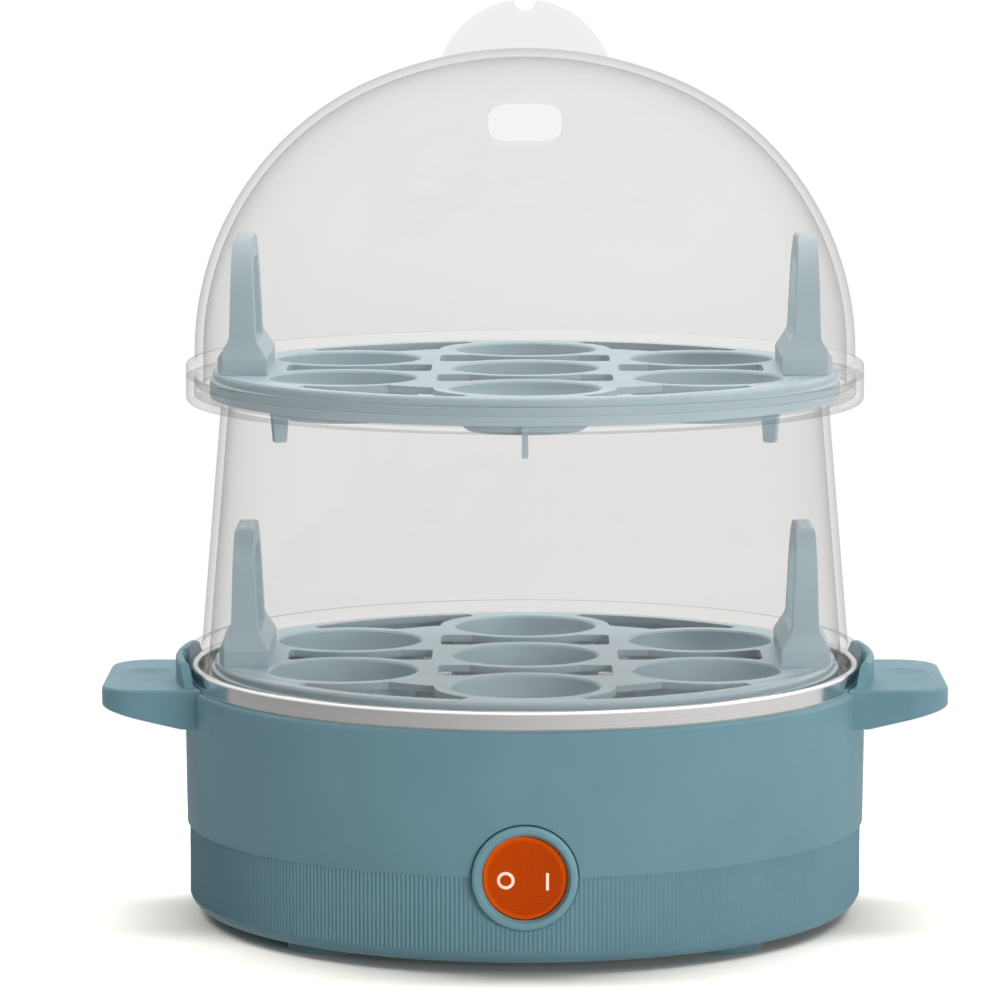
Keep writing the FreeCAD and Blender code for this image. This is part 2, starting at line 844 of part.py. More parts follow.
def bottom_cover():
    # Shallow dish whose rounded edge carries on the line of the fluted band
    edge_r = (cover_corner ** 2 + cover_edge_h ** 2) / (2 * cover_edge_h)
    turn = math.asin(cover_corner / edge_r) / 2
    start, end = V(crest_r - cover_corner, 0, foot_h), V(crest_r, 0, band_bottom)
    middle = start + V(edge_r * math.sin(turn), 0, edge_r * (1 - math.cos(turn)))
    lip_r = inner_low_r - slip_gap
    lip_in = lip_r - cover_lip_t
    lip_top = cover_top + cover_lip_h
    inner = [end, V(lip_r, 0, band_bottom), V(lip_r, 0, lip_top), V(lip_in, 0, lip_top),
             V(lip_in, 0, cover_top), V(0, 0, cover_top), V(0, 0, foot_h), start]
    edges = [Part.Arc(start, middle, end).toShape()] + soft_edges(inner, [0] * len(inner), False)
    adds, cuts = [revolved(edges)], []
    half_floor = foot_h + cover_floor_t / 2
    for angle in screw_angles:
        under = on_ring(screw_ring_r, angle, foot_h - past)
        top = on_ring(screw_ring_r, angle, boss_top)
        adds.append(rod(cover_boss_r, on_ring(screw_ring_r, angle, half_floor), top))
        cuts.append(rod(screw_head_r + seat_gap, under, on_ring(screw_ring_r, angle, screw_seat)))
        cuts.append(rod(screw_r + screw_gap, under, top + UP * past))
    for spot in foot_spots():
        under = spot + UP * (foot_h - past)
        cuts.append(rod(foot_r + foot_gap, under, under + UP * (foot_sink + past)))
    for k in range(slot_count):
        y = slot_pitch * (k - (slot_count - 1) / 2)
        cuts.append(block(-slot_len / 2, slot_len / 2, y - slot_w / 2, y + slot_w / 2, 0, cover_top + past))
    half_w, half_d = block_w / 2 + block_pad_edge, block_d / 2 + block_pad_edge
    pad_top = cover_top + block_pad_h
    adds.append(block(-half_w, half_w, block_y - half_d, block_y + half_d, half_floor, pad_top))
    cuts.append(rod(small_screw_r + pin_gap, V(0, block_y, foot_h + block_screw_floor),
                    V(0, block_y, pad_top + past)))
    return joined(adds).cut(together(cuts))


def cover_screws():
    screws = []
    for angle in screw_angles:
        seat = on_ring(screw_ring_r, angle, screw_seat)
        under = screw_seat - screw_head_h
        head = rod(screw_head_r, seat, seat - UP * screw_head_h)
        shank = rod(screw_r, seat, seat + UP * screw_len)
        arms = []
        for half_x, half_y in ((cross_l / 2, cross_w / 2), (cross_w / 2, cross_l / 2)):
            arms.append(block(seat.x - half_x, seat.x + half_x, seat.y - half_y, seat.y + half_y,
                              under - past, under + cross_depth))
        screws.append(joined([head, shank]).cut(joined(arms)))
    return screws


def foot_spots():
    turns = (foot_angle, 180 - foot_angle, 180 + foot_angle, 360 - foot_angle)
    return [on_ring(foot_ring_r, a, 0) for a in turns]


def foot_pads():
    top = foot_h + foot_sink
    pad = turned([(0, 0), (foot_r, 0, foot_round), (foot_r, top), (0, top)])
    return [moved(pad, *spot) for spot in foot_spots()]


def cord_gland():
    neck_w, neck_h = gland_hole_w + 2 * gland_neck_t, gland_hole_h + 2 * gland_neck_t
    flange_w, flange_h = gland_hole_w + 2 * gland_flange_w, gland_hole_h + 2 * gland_flange_w
    inner = inner_low_r - gland_neck_in
    collar = inner_low_r - gland_collar_gap
    bush = obround(neck_w, neck_h, inner, gland_face + gland_flange_t / 2)
    outer = obround(flange_w, flange_h, gland_face, gland_face + gland_flange_t)
    ring = obround(neck_w + 2 * gland_collar_w, neck_h + 2 * gland_collar_w, collar - gland_collar_t, collar)
    hole = obround(gland_hole_w, gland_hole_h, inner - past, gland_face + gland_flange_t + past)
    return joined([bush, outer, ring]).cut(hole)


def terminal_block():
    low = block_top - block_h
    half_w, half_d = block_w / 2, block_d / 2
    shape = slab(-half_w, half_w, block_y - half_d, block_y + half_d, block_round, "xy")
    body = moved(shape.extrude(UP * block_h), 0, 0, low)
    middle = V(0, block_y, 0)
    cuts = [rod(small_screw_r + screw_gap, middle + UP * (low - past), middle + UP * block_top),
            rod(small_head_r + seat_gap, middle + UP * head_seat, middle + UP * (block_top + past))]
    for x in (live_x, neutral_x, lamp_x):
        top = V(x, block_y, block_top + past)
        cuts.append(rod(lead_r + screw_gap, top - UP * (lead_hole_h + past), top))
    for x in (-supply_x, supply_x):
        mouth = V(x, block_y + half_d + past, block_top - supply_drop)
        cuts.append(rod(supply_r, mouth, mouth - V(0, supply_depth + past, 0)))
    return body.cut(together(cuts))


def block_screw():
    seat = V(0, block_y, head_seat)
    return small_screw(seat, head_seat - foot_h - block_screw_floor - block_screw_tip, -1)


def tube(points):
    # Round lead along straight runs, each bend as large as its two runs allow
    points = [V(*p) for p in points]
    bends = [0]
    for before, corner, after in zip(points, points[1:], points[2:]):
        back, ahead = before - corner, after - corner
        bends.append(bend_share * min(back.Length, ahead.Length) * math.tan(back.getAngle(ahead) / 2))
    path = Part.Wire(soft_edges(points, bends + [0], False))
    ring = Part.Wire(Part.makeCircle(lead_r, points[0], points[1] - points[0]))
    return path.makePipeShell([ring], True, False)


def blade_clip(tip, width, upright, heading):
    # Push-on connector over a blade whose free end is at tip, wire leaving along heading times Y
    half_w, half_t = width / 2 + pin_gap, tab_t / 2 + pin_gap
    case = block(-half_w - clip_wall, half_w + clip_wall, clip_nose - clip_len, clip_nose,
                 -half_t - clip_wall, half_t + clip_wall)
    clip = case.cut(block(-half_w, half_w, -clip_len, clip_gap, -half_t, half_t))
    if upright:
        clip.rotate(V(), V(0, 1, 0), 90)
    if heading < 0:
        clip.rotate(V(), UP, 180)
    return moved(clip, *tip)


def switch_tip(x):
    return V(x, tab_len - barrel_back, switch_z)


def lead(points, clips):
    return joined([tube(points)] + clips)


def from_block(x, rise):
    # A lead's first run, straight up out of its hole in the terminal block
    return [(x, block_y, block_top - lead_hole_h + lead_end_gap), (x, block_y, block_top + rise)]


def lead_live():
    tip = switch_tip(0)
    route = [(-26, 46, 27), (-38, 20, 27), (-38, -14, 27), (-22, -34, 25), (0, -40, switch_z)]
    points = from_block(live_x, 9) + route + [(tip.x, tip.y + clip_exit, switch_z)]
    return lead(points, [blade_clip(tip, tab_w, True, 1)])


def lead_lamp():
    tip = switch_tip(tab_pitch)
    route = [(28, 46, 25), (40, 20, 25), (40, -14, 25), (26, -36, 24.6), (tip.x, -44, switch_z)]
    points = from_block(lamp_x, 7) + route + [(tip.x, tip.y + clip_exit, switch_z)]
    return lead(points, [blade_clip(tip, tab_w, True, 1)])


def lead_load():
    tip = switch_tip(-tab_pitch)
    start = -thermo_tip - fuse_lead - fuse_len
    points = [(0, start, lead_z), (0, start - 5, lead_z), (tip.x, tip.y + 9, switch_z),
              (tip.x, tip.y + clip_exit, switch_z)]
    return lead(points, [blade_clip(tip, tab_w, True, 1)])


def thermal_fuse():
    start = V(0, -thermo_tip - fuse_lead, lead_z)
    return rod(fuse_r, start, start - V(0, fuse_len, 0))


def lead_thermostat():
    tip = V(0, -thermo_tip, lead_z)
    wire = rod(lead_r, tip - V(0, clip_exit, 0), tip - V(0, fuse_lead, 0))
    return joined([wire, blade_clip(tip, blade_w, False, -1)])


def lead_element():
    end = element_end(-1)
    far = end.y + blade_len
    points = [(0, thermo_tip + clip_exit, lead_z), (0, far + lead_loop, lead_z),
              (end.x, far + lead_loop, lead_z), (end.x, far + clip_exit, lead_z)]
    return lead(points, [blade_clip(V(0, thermo_tip, lead_z), blade_w, False, 1),
                         blade_clip(V(end.x, far, lead_z), blade_w, False, 1)])


def lead_neutral():
    end = element_end(1)
    far = end.y + blade_len
    points = from_block(neutral_x, 9) + [(end.x, far + lead_loop, lead_z), (end.x, far + clip_exit, lead_z)]
    return lead(points, [blade_clip(V(end.x, far, lead_z), blade_w, False, 1)])


def bowl(wide_r, narrow_r, top):
    # Rounded egg seat, carried straight up from its widest edge to top
    foot = -seat_depth
    edge = -seat_edge if top > 0 else 0
    belly = V((wide_r + narrow_r) / 2 + 2 * seat_belly, 0, (edge + foot) / 2 - seat_belly)
    wide, narrow = V(wide_r, 0, edge), V(narrow_r, 0, foot)
    flare = V(wide_r - edge, 0, 0)
    rim = [V(0, 0, foot), V(0, 0, top), V(flare.x, 0, top), flare, wide]
    edges = [Part.makeLine(a, b) for a, b in zip(rim, rim[1:]) if a.distanceToPoint(b) > 1e-6]
    edges.append(Part.Arc(wide, belly, narrow).toShape())
    edges.append(Part.makeLine(narrow, rim[0]))
    return revolved(edges)


def land(centre):
    # Solid ground kept around one seat
    return Part.makeCylinder(seat_r + seat_land, 2 * seat_depth, V(centre.x, centre.y, -seat_depth))


def bow_tie(x_low, x_high, centre):
    # Slot between two seats in line along Y, waisted by the land around each
    plan = slab(x_low, x_high, -slot_flare, slot_flare, slot_corner, "xy")
    slot = moved(plan.extrude(UP * (tray_rim_h + past)), centre.x, centre.y, -tray_rim_h)
    for side in (-1, 1):
        slot = slot.cut(land(centre + V(0, side * seat_ring_r / 2, 0)))
    return slot


def rim_web(degrees):
    # Three-sided opening between two outer seats and the rim
    low, high = V(0, 0, -tray_rim_h), V(0, 0, past)
    ring = rod(tray_r - web_rim, low, high).cut(rod(seat_ring_r + web_in, low, high))
    opening = ring.common(spun(block(0, tray_r, -web_half_w, web_half_w, -tray_rim_h, past), degrees))
    for side in (-30, 30):
        opening = opening.cut(land(on_ring(seat_ring_r, degrees + side, 0)))
    return opening


def tray_grip():
    # Arch handle, flared at both feet and rounded along its top
    foot_x, low_x, top_x = tray_r - grip_foot_in, tray_r - grip_low_in, tray_r - grip_top_in
    side = outline([(foot_x - grip_foot_t, -tray_t), (foot_x, -tray_t),
                    (foot_x, grip_foot_h, grip_foot_round), (low_x, grip_flare_h, grip_flare_round),
                    (top_x, grip_h, grip_edge_round),
                    (top_x - grip_top_t, grip_h, grip_edge_round),
                    (low_x - grip_low_t, grip_flare_h, grip_flare_round),
                    (foot_x - grip_foot_t, grip_foot_h, grip_foot_round)], "xz")
    foot, top = grip_half + grip_foot_spread, grip_half - grip_lean
    arch = outline([(-foot, -tray_t), (foot, -tray_t), (foot, grip_foot_h, grip_foot_round),
                    (grip_half, grip_flare_h, grip_sill_round), (top, grip_h, grip_round),
                    (-top, grip_h, grip_round), (-grip_half, grip_flare_h, grip_sill_round),
                    (-foot, grip_foot_h, grip_foot_round)], "yz")
    sill, crown = grip_half - grip_bar, grip_half - grip_bar - grip_lean
    high, corner = grip_h - grip_bar, grip_round - grip_bar
    hole = outline([(-sill, grip_sill, grip_sill_round), (sill, grip_sill, grip_sill_round),
                    (crown, high, corner), (-crown, high, corner)], "yz")
    bar = moved(side.extrude(V(0, 2 * foot, 0)), 0, -foot, 0)
    grip = bar.common(arch.extrude(V(tray_r, 0, 0)))
    rim = tray_r - tray_lip_in - tray_lip_step
    grip = grip.common(rod(rim, V(0, 0, -tray_t), V(0, 0, grip_h + past)))
    return grip.cut(hole.extrude(V(tray_r, 0, 0)))


def tray_leg():
    top, tip = leg_top_w / 2, leg_tip_w / 2
    side = outline([(leg_ring_r - top, -tray_t / 2), (leg_ring_r + top, -tray_t / 2),
                    (leg_ring_r + tip, -leg_drop, leg_tip_round),
                    (leg_ring_r - tip, -leg_drop, leg_tip_round)], "xz")
    return moved(side.extrude(V(0, leg_t, 0)), 0, -leg_t / 2, 0)


def egg_tray():
    # Tray with its upper face at zero
    lip_r = tray_r - tray_lip_in
    plate = turned([(0, 0), (lip_r, 0, tray_lip_round), (lip_r, -tray_lip_h),
                    (tray_r, -tray_lip_h - tray_lip_step), (tray_r, -tray_rim_h),
                    (tray_r - tray_rim_t, -tray_rim_h), (lip_r - tray_rim_t, -tray_t), (0, -tray_t)])
    angles = [60 * k - 90 for k in range(6)]
    seats = [V()] + [on_ring(seat_ring_r, a, 0) for a in angles]
    cup = bowl(seat_r + seat_wall, seat_foot_r + seat_wall, 0)
    hollow = joined([bowl(seat_r, seat_foot_r, past), rod(seat_foot_r, V(0, 0, -seat_depth - past), V())])
    grip = tray_grip()
    leg = tray_leg()
    solid = joined([plate] + [moved(cup, *s) for s in seats] + [spun(leg, a) for a in angles]
                   + [grip, mirrored(grip)])
    column = seat_ring_r * math.cos(math.radians(30))
    side_slot = bow_tie(-slot_half, tray_r - side_slot_in - column, V(column, 0, 0))
    cuts = [moved(hollow, *s) for s in seats]
    cuts += [bow_tie(-slot_half, slot_half, V(0, side * seat_ring_r / 2, 0)) for side in (-1, 1)]
    cuts += [side_slot, mirrored(side_slot)] + [rim_web(a) for a in (60, 120, -60, -120)]
    for cutter in cuts:
        solid = solid.cut(cutter)
    return solid.removeSplitter()


def lower_egg_tray():
    return moved(egg_tray(), 0, 0, lower_tray_top)


def upper_egg_tray():
    return moved(egg_tray(), 0, 0, upper_tray_top)


def tier_ring():
    # Skirt in the pan, flange on its rim, tapering wall, and a cup for the upper tray
    skirt_r = pan_in_r - seat_gap
    skirt_low = pan_top - ring_skirt_h
    flange_top = pan_top + ring_flange_h
    ledge_low = ledge_top - ledge_t
    cup_bore = cup_r - cup_wall
    return turned([(skirt_r - ring_skirt_t, skirt_low, ring_skirt_round),
                   (skirt_r, skirt_low, ring_skirt_round), (skirt_r, pan_top),
                   (ring_flange_r, pan_top, ring_flange_low_round),
                   (ring_flange_r, flange_top, ring_flange_top_round),
                   (ring_foot_r, flange_top, ring_flange_top_round),
                   (ring_throat_r + ring_wall, ledge_low, ring_neck_round), (cup_r, ledge_low, cup_low_round),
                   (cup_r, cup_top), (cup_bore, cup_top), (cup_bore, ledge_top, cup_in_round),
                   (ring_throat_r, ledge_top, ledge_round),
                   (ring_foot_r - ring_wall, flange_top + ring_foot_rise)])


def dome_section(inset):
    # Half section of the dome, inset inside its outer face, from the springing to the axis
    centre = V(dome_r - shoulder_r, 0, dome_spring)
    crown_centre = V(0, 0, dome_apex - crown_r)
    lean = (centre - crown_centre) * (1 / (crown_r - shoulder_r))
    small, large = shoulder_r - inset, crown_r - inset
    tangent = crown_centre + lean * large
    turn = math.atan2(lean.z, lean.x)
    rise = (turn + math.pi / 2) / 2
    middle = centre + V(small * math.cos(turn / 2), 0, small * math.sin(turn / 2))
    over = crown_centre + V(large * math.cos(rise), 0, large * math.sin(rise))
    start, top = V(dome_r - inset, 0, dome_spring), V(0, 0, dome_apex - inset)
    return [Part.Arc(start, middle, tangent).toShape(), Part.Arc(tangent, over, top).toShape()]


def dome_core(inset, low):
    side = dome_r - inset
    corners = [V(0, 0, dome_apex - inset), V(0, 0, low), V(side, 0, low), V(side, 0, dome_spring)]
    edges = [Part.makeLine(a, b) for a, b in zip(corners, corners[1:]) if a.distanceToPoint(b) > 1e-6]
    return revolved(dome_section(inset) + edges)


def vent_cut():
    # Rounded steam vent, square to the back of the crown
    lean = math.asin(vent_reach / crown_r)
    spot = V(0, vent_reach, dome_apex - crown_r + crown_r * math.cos(lean))
    plan = slab(-vent_w / 2, vent_w / 2, -vent_l / 2, vent_l / 2, vent_corner, "xy")
    depth = 2 * lid_wall + past
    shape = moved(plan.extrude(UP * 2 * depth), 0, 0, -depth)
    shape.rotate(V(), V(1, 0, 0), -math.degrees(lean))
    shape.translate(spot)
    return shape


def fin(radius, thickness, notch_w, notch_low, centre):
    side = V(0, thickness / 2, 0)
    middle, low = V(0, 0, centre), V(0, 0, notch_low + notch_w)
    disc = rod(radius, middle - side, middle + side)
    slot = block(-notch_w, notch_w, -thickness, thickness, low.z, low.z + radius)
    return disc.cut(joined([slot, rod(notch_w, low - side * 2, low + side * 2)]))


def dome_lid():
    # Dome on a flanged collar, with a hollow upright fin to lift it by
    skirt_r = cup_r - cup_wall - slip_gap
    low = cup_top - lid_skirt_h
    flange_top = cup_top + lid_flange_h
    inner_r = dome_r - lid_wall
    collar = turned([(inner_r, low), (skirt_r, low, lid_skirt_round), (skirt_r, cup_top), (cup_r, cup_top),
                     (cup_r, flange_top, lid_flange_round), (dome_r, flange_top, lid_neck_round),
                     (dome_r, dome_spring), (inner_r, dome_spring)])
    centre = dome_apex + fin_top - fin_r
    notch_low = dome_apex + fin_top - notch_depth
    blade = fin(fin_r, fin_t, notch_half, notch_low, centre)
    blade = blade.makeFillet(fin_round, [e for e in blade.Edges if e.BoundBox.YLength < pin_gap])
    inner = fin(fin_r - fin_wall, fin_t - 2 * fin_wall, notch_half + fin_wall, notch_low - fin_wall, centre)
    shell = joined([dome_core(0, dome_spring), collar, blade]).cut(dome_core(lid_wall, low - past))
    return shell.cut(inner).cut(vent_cut()).removeSplitter()


makers = [base_housing, heating_plate, plate_gasket, heat_spreader, heating_element, plate_studs, plate_nuts,
          thermostat, thermostat_strap, strap_screws, thermal_fuse, switch_body, switch_rocker,
          switch_plunger, switch_spring, switch_contact_arm, switch_terminals, switch_lamp, bottom_cover,
          cover_screws, foot_pads, cord_gland, terminal_block, block_screw, lead_live, lead_lamp, lead_load,
          lead_thermostat, lead_element, lead_neutral, lower_egg_tray, tier_ring, upper_egg_tray, dome_lid]

os.makedirs("parts", exist_ok=True)
for maker in makers:
    shape = maker()
    if isinstance(shape, list):
        shape = together(shape)
    shape.exportStep("parts/" + maker.__name__ + ".step")
    box = shape.BoundBox
    corners = [round(c, 2) for c in (box.XMin, box.XMax, box.YMin, box.YMax, box.ZMin, box.ZMax)]
    print(maker.__name__, len(shape.Solids), shape.isValid(), round(shape.Volume, 1), corners)
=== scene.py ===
import json
import math

import bmesh
import bpy
from mathutils import Matrix, Vector


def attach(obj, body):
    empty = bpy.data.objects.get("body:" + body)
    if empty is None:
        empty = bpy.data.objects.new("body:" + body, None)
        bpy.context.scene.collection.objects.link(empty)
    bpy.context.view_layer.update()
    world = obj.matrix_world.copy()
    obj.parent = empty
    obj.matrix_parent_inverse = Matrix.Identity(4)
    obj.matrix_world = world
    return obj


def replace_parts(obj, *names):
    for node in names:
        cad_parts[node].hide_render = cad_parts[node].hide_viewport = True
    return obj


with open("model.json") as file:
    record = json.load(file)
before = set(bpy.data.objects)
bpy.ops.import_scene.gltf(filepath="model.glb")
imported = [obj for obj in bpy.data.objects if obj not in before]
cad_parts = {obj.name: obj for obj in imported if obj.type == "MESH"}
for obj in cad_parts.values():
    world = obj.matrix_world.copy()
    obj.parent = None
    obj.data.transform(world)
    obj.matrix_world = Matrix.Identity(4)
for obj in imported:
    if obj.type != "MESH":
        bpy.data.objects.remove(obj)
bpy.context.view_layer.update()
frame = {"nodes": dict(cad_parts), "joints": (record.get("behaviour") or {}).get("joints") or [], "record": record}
print("frame loaded:", len(frame["nodes"]), "nodes")


# Shader helpers

noiseSpan = (0.3, 0.7)  # where most of a noise's values lie
softDetail, plainDetail, fineDetail, finestDetail = 1.0, 2.0, 3.0, 4.0
drawnOut = (1, 0.12, 1)  # stretches noise into lines along Y


def paint(red, green, blue):
    # A colour as a picture editor gives it, made linear
    parts = [value / 255 for value in (red, green, blue)]
    return [p / 12.92 if p <= 0.04045 else ((p + 0.055) / 1.055) ** 2.4 for p in parts]


def startMaterial(name):
    material = bpy.data.materials.new(name)
    material.use_nodes = True
    tree = material.node_tree
    return material, tree, tree.nodes["Principled BSDF"]


def addNode(tree, kind, settings=None, inputs=None):
    made = tree.nodes.new(kind)
    for key, value in (settings or {}).items():
        setattr(made, key, value)
    for key, value in (inputs or {}).items():
        if isinstance(value, bpy.types.NodeSocket):
            tree.links.new(value, made.inputs[key])
        else:
            made.inputs[key].default_value = value
    return made


def ownPlace(tree, scale=(1, 1, 1)):
    # The piece's own coordinates, stretched
    place = addNode(tree, "ShaderNodeTexCoord").outputs["Object"]
    stretched = {"Vector": place, "Scale": scale}
    return addNode(tree, "ShaderNodeMapping", inputs=stretched).outputs["Vector"]


def noiseAt(tree, vector, perMetre, detail):
    spread = {"Vector": vector, "Scale": perMetre, "Detail": detail}
    return addNode(tree, "ShaderNodeTexNoise", inputs=spread).outputs["Fac"]


def noise(tree, perMetre, detail=plainDetail, scale=(1, 1, 1)):
    return noiseAt(tree, ownPlace(tree, scale), perMetre, detail)


def roundAndRound(tree, perMetre, detail):
    # Noise drawn out into fine rings about the upright axis
    parts = addNode(tree, "ShaderNodeSeparateXYZ", inputs={"Vector": ownPlace(tree)}).outputs
    flat = addNode(tree, "ShaderNodeCombineXYZ", inputs={"X": parts["X"], "Y": parts["Y"]})
    plan = {0: flat.outputs["Vector"]}
    radius = addNode(tree, "ShaderNodeVectorMath", {"operation": "LENGTH"}, plan).outputs["Value"]
    rings = addNode(tree, "ShaderNodeCombineXYZ", inputs={"X": radius, "Z": parts["Z"]})
    return noiseAt(tree, rings.outputs["Vector"], perMetre, detail)


def ranged(tree, source, start, end, low, high, blend="LINEAR"):
    limits = {"Value": source, "From Min": start, "From Max": end, "To Min": low, "To Max": high}
    return addNode(tree, "ShaderNodeMapRange", {"interpolation_type": blend}, limits).outputs["Result"]


def times(tree, first, second):
    both = {0: first, 1: second}
    return addNode(tree, "ShaderNodeMath", {"operation": "MULTIPLY"}, both).outputs["Value"]


def within(tree, source, middle, reach):
    # 1 where a length lies within reach of the middle, otherwise 0
    away = {0: source, 1: middle, 2: reach}
    return addNode(tree, "ShaderNodeMath", {"operation": "COMPARE"}, away).outputs["Value"]


def between(tree, source, low, high):
    return ranged(tree, source, *noiseSpan, low, high)


def twoTone(tree, source, dark, light):
    ramp = addNode(tree, "ShaderNodeValToRGB", inputs={"Fac": source})
    for element, position, colour in zip(ramp.color_ramp.elements, noiseSpan, (dark, light)):
        element.position = position
        element.color = (*colour, 1)
    return ramp.outputs["Color"]


def feed(tree, shader, name, source):
    tree.links.new(source, shader.inputs[name])


def relief(tree, shader, height, depth):
    sizes = {"Height": height, "Distance": depth}
    feed(tree, shader, "Normal", addNode(tree, "ShaderNodeBump", inputs=sizes).outputs["Normal"])


def mixShader(tree, share, first, second):
    mix = addNode(tree, "ShaderNodeMixShader", inputs={0: share})
    tree.links.new(first.outputs[0], mix.inputs[1])
    tree.links.new(second.outputs[0], mix.inputs[2])
    return mix


def useMix(tree, mix):
    # Takes the place of the shader that a material starts with
    tree.links.new(mix.outputs["Shader"], tree.nodes["Material Output"].inputs["Surface"])
    tree.nodes.remove(tree.nodes["Principled BSDF"])


# Finishes

# What a moulded look has unless it says otherwise
moulding = {"ior": 1.5, "shine": 0.5, "coat": 0.0, "coatRough": 0.2, "glow": 0.0, "glowDepth": 0.004,
            "lit": 0.0, "smudgesPerCloud": 9}


def mouldedPlastic(name, look):
    look = {**moulding, **look}
    material, tree, shader = startMaterial(name)
    clouds = noise(tree, look["clouds"])
    smudges = noise(tree, look["clouds"] * look["smudgesPerCloud"], finestDetail)
    feed(tree, shader, "Base Color", twoTone(tree, clouds, look["dark"], look["light"]))
    feed(tree, shader, "Roughness", between(tree, smudges, *look["rough"]))
    relief(tree, shader, noise(tree, look["grain"], fineDetail), look["depth"])
    shader.inputs["IOR"].default_value = look["ior"]
    shader.inputs["Specular IOR Level"].default_value = look["shine"]
    shader.inputs["Coat Weight"].default_value = look["coat"]
    shader.inputs["Coat Roughness"].default_value = look["coatRough"]
    shader.inputs["Subsurface Weight"].default_value = look["glow"]
    shader.inputs["Subsurface Scale"].default_value = look["glowDepth"]
    # A lit look glows in its light tone, a painted glow with no lamp inside
    shader.inputs["Emission Color"].default_value = (*look["light"], 1)
    shader.inputs["Emission Strength"].default_value = look["lit"]
    return material


def markMetal(tree, shader, marks, look):
    # The marks give the tone and the relief, smudges the roughness
    smudges = noise(tree, look["smudges"], fineDetail)
    feed(tree, shader, "Base Color", twoTone(tree, marks, look["dark"], look["light"]))
    feed(tree, shader, "Roughness", between(tree, smudges, *look["rough"]))
    relief(tree, shader, marks, look["depth"])
    shader.inputs["Metallic"].default_value = 1.0


def spunMetal(name, look):
    # Turning marks run round the axis
    material, tree, shader = startMaterial(name)
    markMetal(tree, shader, roundAndRound(tree, look["marks"], finestDetail), look)
    return material


def pressedMetal(name, look):
    material, tree, shader = startMaterial(name)
    markMetal(tree, shader, noise(tree, look["marks"], finestDetail, drawnOut), look)
    return material


def clearTint(tree, edge, face, rim, bend):
    ramp = addNode(tree, "ShaderNodeValToRGB", inputs={"Fac": edge})
    ramp.color_ramp.elements[0].position = bend
    ramp.color_ramp.elements[0].color = (*face, 1)
    ramp.color_ramp.elements[1].color = (*rim, 1)
    return addNode(tree, "ShaderNodeBsdfTransparent", inputs={"Color": ramp.outputs["Color"]})


def clearPlastic(name, look):
    # Thin wall: mirrors more and passes less where it is seen edge-on, and lets the light in freely
    material, tree, _ = startMaterial(name)
    edge = addNode(tree, "ShaderNodeLayerWeight", inputs={"Blend": look["facing"]}).outputs["Facing"]
    parts = addNode(tree, "ShaderNodeSeparateXYZ", inputs={"Vector": ownPlace(tree)}).outputs
    wall = clearTint(tree, edge, look["wallTint"], look["rimTint"], look["bend"])
    # Doubled walls at the collar would darken it, so each is clearer there
    collar = clearTint(tree, edge, look["collarTint"], look["rimTint"], look["bend"])
    wall = mixShader(tree, within(tree, parts["Z"], *look["collar"]), wall, collar)
    # The fin is even all over, whatever its hollow
    high = ranged(tree, parts["Z"], *look["finFoot"], 0, 1)
    fin = addNode(tree, "ShaderNodeBsdfTransparent", inputs={"Color": (*look["finTint"], 1)})
    wall = mixShader(tree, times(tree, within(tree, parts["Y"], 0, look["finSide"]), high), wall, fin)
    flow = noise(tree, look["flow"], softDetail, look["stretch"])
    grey = twoTone(tree, flow, look["dark"], look["light"])
    rough = between(tree, noise(tree, look["smudges"], fineDetail), *look["rough"])
    gloss = addNode(tree, "ShaderNodeBsdfGlossy", inputs={"Color": grey, "Roughness": rough})
    bends = {0: edge, 1: look["steep"]}
    steep = addNode(tree, "ShaderNodeMath", {"operation": "POWER"}, bends).outputs["Value"]
    seen = mixShader(tree, ranged(tree, steep, 0, 1, look["mirror"], look["rimMirror"]), wall, gloss)
    hollow = times(tree, within(tree, parts["Y"], 0, look["finHollow"]), high)
    seen = mixShader(tree, hollow, seen, addNode(tree, "ShaderNodeBsdfTransparent"))
    passing = addNode(tree, "ShaderNodeBsdfTransparent", inputs={"Color": (*look["passed"], 1)})
    path = addNode(tree, "ShaderNodeLightPath")
    useMix(tree, mixShader(tree, path.outputs["Is Camera Ray"], passing, seen))
    return material


def litPlastic(name, look):
    # Translucent orange with a fine square grid, painted brighter towards its edge: a painted glow that stands in
    # for light at the rim
    material, tree, shader = startMaterial(name)
    grid = {"Vector": ownPlace(tree), "Scale": look["grid"]}
    waves = [addNode(tree, "ShaderNodeTexWave", {"bands_direction": way}, grid) for way in "XZ"]
    dots = times(tree, *[wave.outputs["Fac"] for wave in waves])
    # Painted light: the colour brightens from the middle out to the edge
    paintedGlowShare = addNode(tree, "ShaderNodeVectorMath", {"operation": "DISTANCE"},
                      {0: ownPlace(tree, (1, 0, 1)), 1: look["pivot"]}).outputs["Value"]
    paintedGlowShare = ranged(tree, paintedGlowShare, *look["edge"], 0, 1 - look["dotShare"])
    both = {0: dots, 1: look["dotShare"], 2: paintedGlowShare}
    level = addNode(tree, "ShaderNodeMath", {"operation": "MULTIPLY_ADD"}, both).outputs["Value"]
    ramp = addNode(tree, "ShaderNodeValToRGB", inputs={"Fac": level})
    ramp.color_ramp.elements[0].color = (*look["dark"], 1)
    ramp.color_ramp.elements[1].color = (*look["rim"], 1)
    ramp.color_ramp.elements.new(look["dotShare"]).color = (*look["light"], 1)
    feed(tree, shader, "Base Color", ramp.outputs["Color"])
    feed(tree, shader, "Roughness", between(tree, noise(tree, look["smudges"]), *look["rough"]))
    relief(tree, shader, dots, look["depth"])
    shader.inputs["Subsurface Weight"].default_value = look["glow"]
    shader.inputs["Subsurface Radius"].default_value = look["glowReach"]
    shader.inputs["Subsurface Scale"].default_value = look["glowDepth"]
    shader.inputs["Specular IOR Level"].default_value = look["shine"]
    return material


